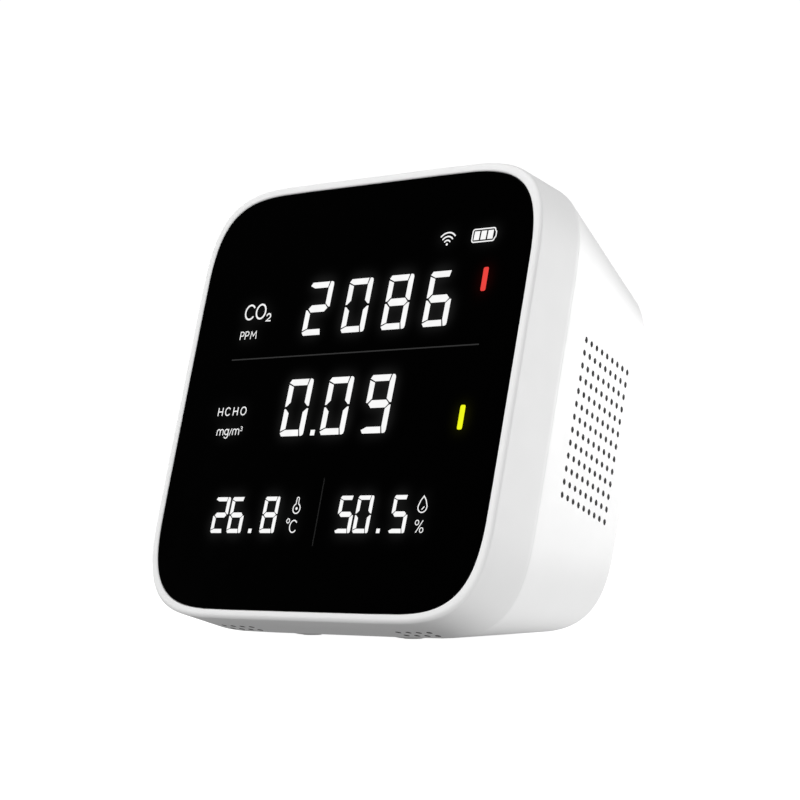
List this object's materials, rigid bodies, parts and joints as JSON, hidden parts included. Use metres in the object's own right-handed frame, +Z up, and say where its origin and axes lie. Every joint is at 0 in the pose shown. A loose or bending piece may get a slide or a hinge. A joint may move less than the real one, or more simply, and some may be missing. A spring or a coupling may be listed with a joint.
{
  "type": "air quality monitor",
  "caption": "Desktop air quality monitor: square black display in a white head that leans back on a tapered, side-vented housing, with rear keys, charging port and rubber feet.",
  "frame": {"origin": "on the table, under the middle of the object's overall width and depth", "axes": "+Z up, the display faces -Y and leans back 14.8 degrees, +X is to the right of someone looking at the display"},
  "size_m": [0.0868, 0.066, 0.0895],
  "materials": {
    "white_shell": "fine satin moulded white plastic",
    "black_lens": "polished near-black tinted acrylic",
    "black_tape": "black double-sided adhesive foam",
    "dark_film": "dark printed film with clear windows",
    "white_reflector": "bright white moulded plastic",
    "black_board": "black solder mask on glass laminate",
    "green_board": "green solder mask on glass laminate",
    "black_chip": "black moulding compound",
    "steel": "nickel-plated steel",
    "gold_chamber": "plastic chamber with a gold reflecting coat",
    "white_filter": "white breathable membrane",
    "cream_plastic": "natural nylon",
    "grey_screen": "dark grey woven dust screen",
    "blue_cell": null,
    "grey_foam": "dark grey cell foam",
    "red_wire": "red insulated wire",
    "black_wire": "black insulated wire",
    "grey_wire": "grey sheathed cable",
    "white_ribbon": "white flat flexible cable",
    "grey_rubber": "light grey silicone rubber",
    "white_key": "satin white moulded key",
    "label_paper": "blank silver-grey label"
  },
  "bodies": {
    "monitor": {"battery_cell": "blue_cell", "battery_foam": "grey_foam", "battery_plug": "white_reflector", "battery_socket": "white_reflector", "battery_wire_black": "black_wire", "battery_wire_red": "red_wire", "buzzer": "black_chip", "case_screw_left": "steel", "case_screw_right": "steel", "charger_coil": "black_chip", "climate_board": "green_board", "climate_cable": "grey_wire", "climate_chip": "black_chip", "climate_socket": "white_reflector", "co2_board": "green_board", "co2_chamber": "gold_chamber", "co2_filter": "white_filter", "display_driver_chip": "black_chip", "display_film": "dark_film", "display_pcb": "black_board", "display_ribbon": "white_ribbon", "display_screw_bottom_left": "steel", "display_screw_bottom_right": "steel", "display_screw_top_left": "steel", "display_screw_top_right": "steel", "dust_screen_left": "grey_screen", "dust_screen_right": "grey_screen", "foot_front_left": "grey_rubber", "foot_front_right": "grey_rubber", "foot_rear_left": "grey_rubber", "foot_rear_right": "grey_rubber", "front_bezel": "white_shell", "front_lens": "black_lens", "hcho_base": "green_board", "hcho_can": "cream_plastic", "hcho_membrane": "white_filter", "lens_tape": "black_tape", "light_box": "white_reflector", "main_chip": "black_chip", "main_pcb": "green_board", "mode_switch": "black_chip", "pcb_screw_bottom_left": "steel", "pcb_screw_bottom_right": "steel", "pcb_screw_top_left": "steel", "pcb_screw_top_right": "steel", "power_switch": "black_chip", "rating_label": "label_paper", "rear_housing": "white_shell", "ribbon_socket_display": "cream_plastic", "ribbon_socket_main": "cream_plastic", "usb_c_shell": "steel", "usb_c_tongue": "black_chip", "wifi_board": "black_board", "wifi_shield": "steel"},
    "power_key": {"power_key": "white_key"},
    "mode_key": {"mode_key": "white_key"},
    "power_plunger": {"power_switch_plunger": "steel"},
    "mode_plunger": {"mode_switch_plunger": "steel"}
  },
  "joints": [
    {"name": "power_key_press", "type": "slide", "parent": "monitor", "child": "power_key", "axis": [0, -0.9668, 0.2554], "range_m": [0, 0.0005]},
    {"name": "mode_key_press", "type": "slide", "parent": "monitor", "child": "mode_key", "axis": [0, -0.9668, 0.2554], "range_m": [0, 0.0005]},
    {"name": "power_plunger_press", "type": "slide", "parent": "monitor", "child": "power_plunger", "axis": [0, -0.9668, 0.2554], "range_m": [0, 0.0005]},
    {"name": "mode_plunger_press", "type": "slide", "parent": "monitor", "child": "mode_plunger", "axis": [0, -0.9668, 0.2554], "range_m": [0, 0.0005]}
  ],
  "couplings": [
    {"joint": "power_plunger_press", "follows": "power_key_press", "ratio": 1},
    {"joint": "mode_plunger_press", "follows": "mode_key_press", "ratio": 1}
  ]
}
